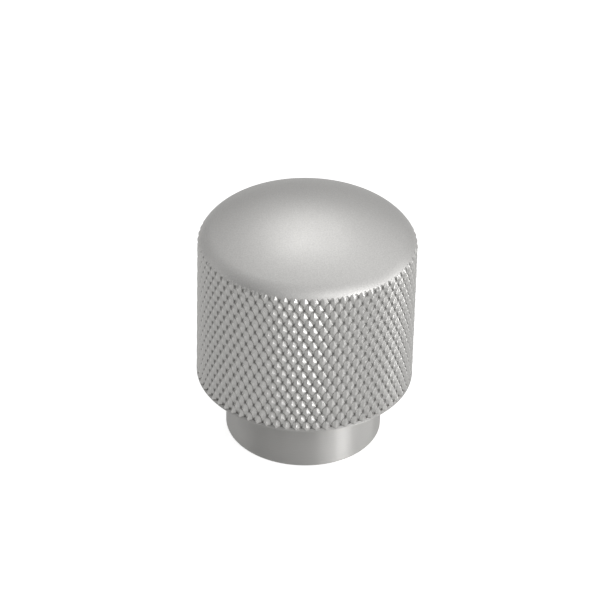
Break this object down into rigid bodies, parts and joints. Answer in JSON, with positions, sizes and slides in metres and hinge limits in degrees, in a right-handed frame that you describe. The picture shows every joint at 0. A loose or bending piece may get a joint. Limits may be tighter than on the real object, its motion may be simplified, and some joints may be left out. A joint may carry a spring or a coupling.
{
  "type": "cabinet knob",
  "caption": "Turned metal cabinet knob with a domed top, a diamond-knurled side, a plain neck and a blind tapped fixing hole in its flat end.",
  "frame": {"origin": "centre of the flat end of the neck, where the knob sits on the door", "axes": "+Z along the knob's axis, out of the door; +X and +Y lie in the door's face"},
  "size_m": [0.03, 0.03, 0.0355],
  "materials": {
    "satin_metal": "satin"
  },
  "bodies": {
    "root": {"knob": "satin_metal"}
  },
  "joints": []
}
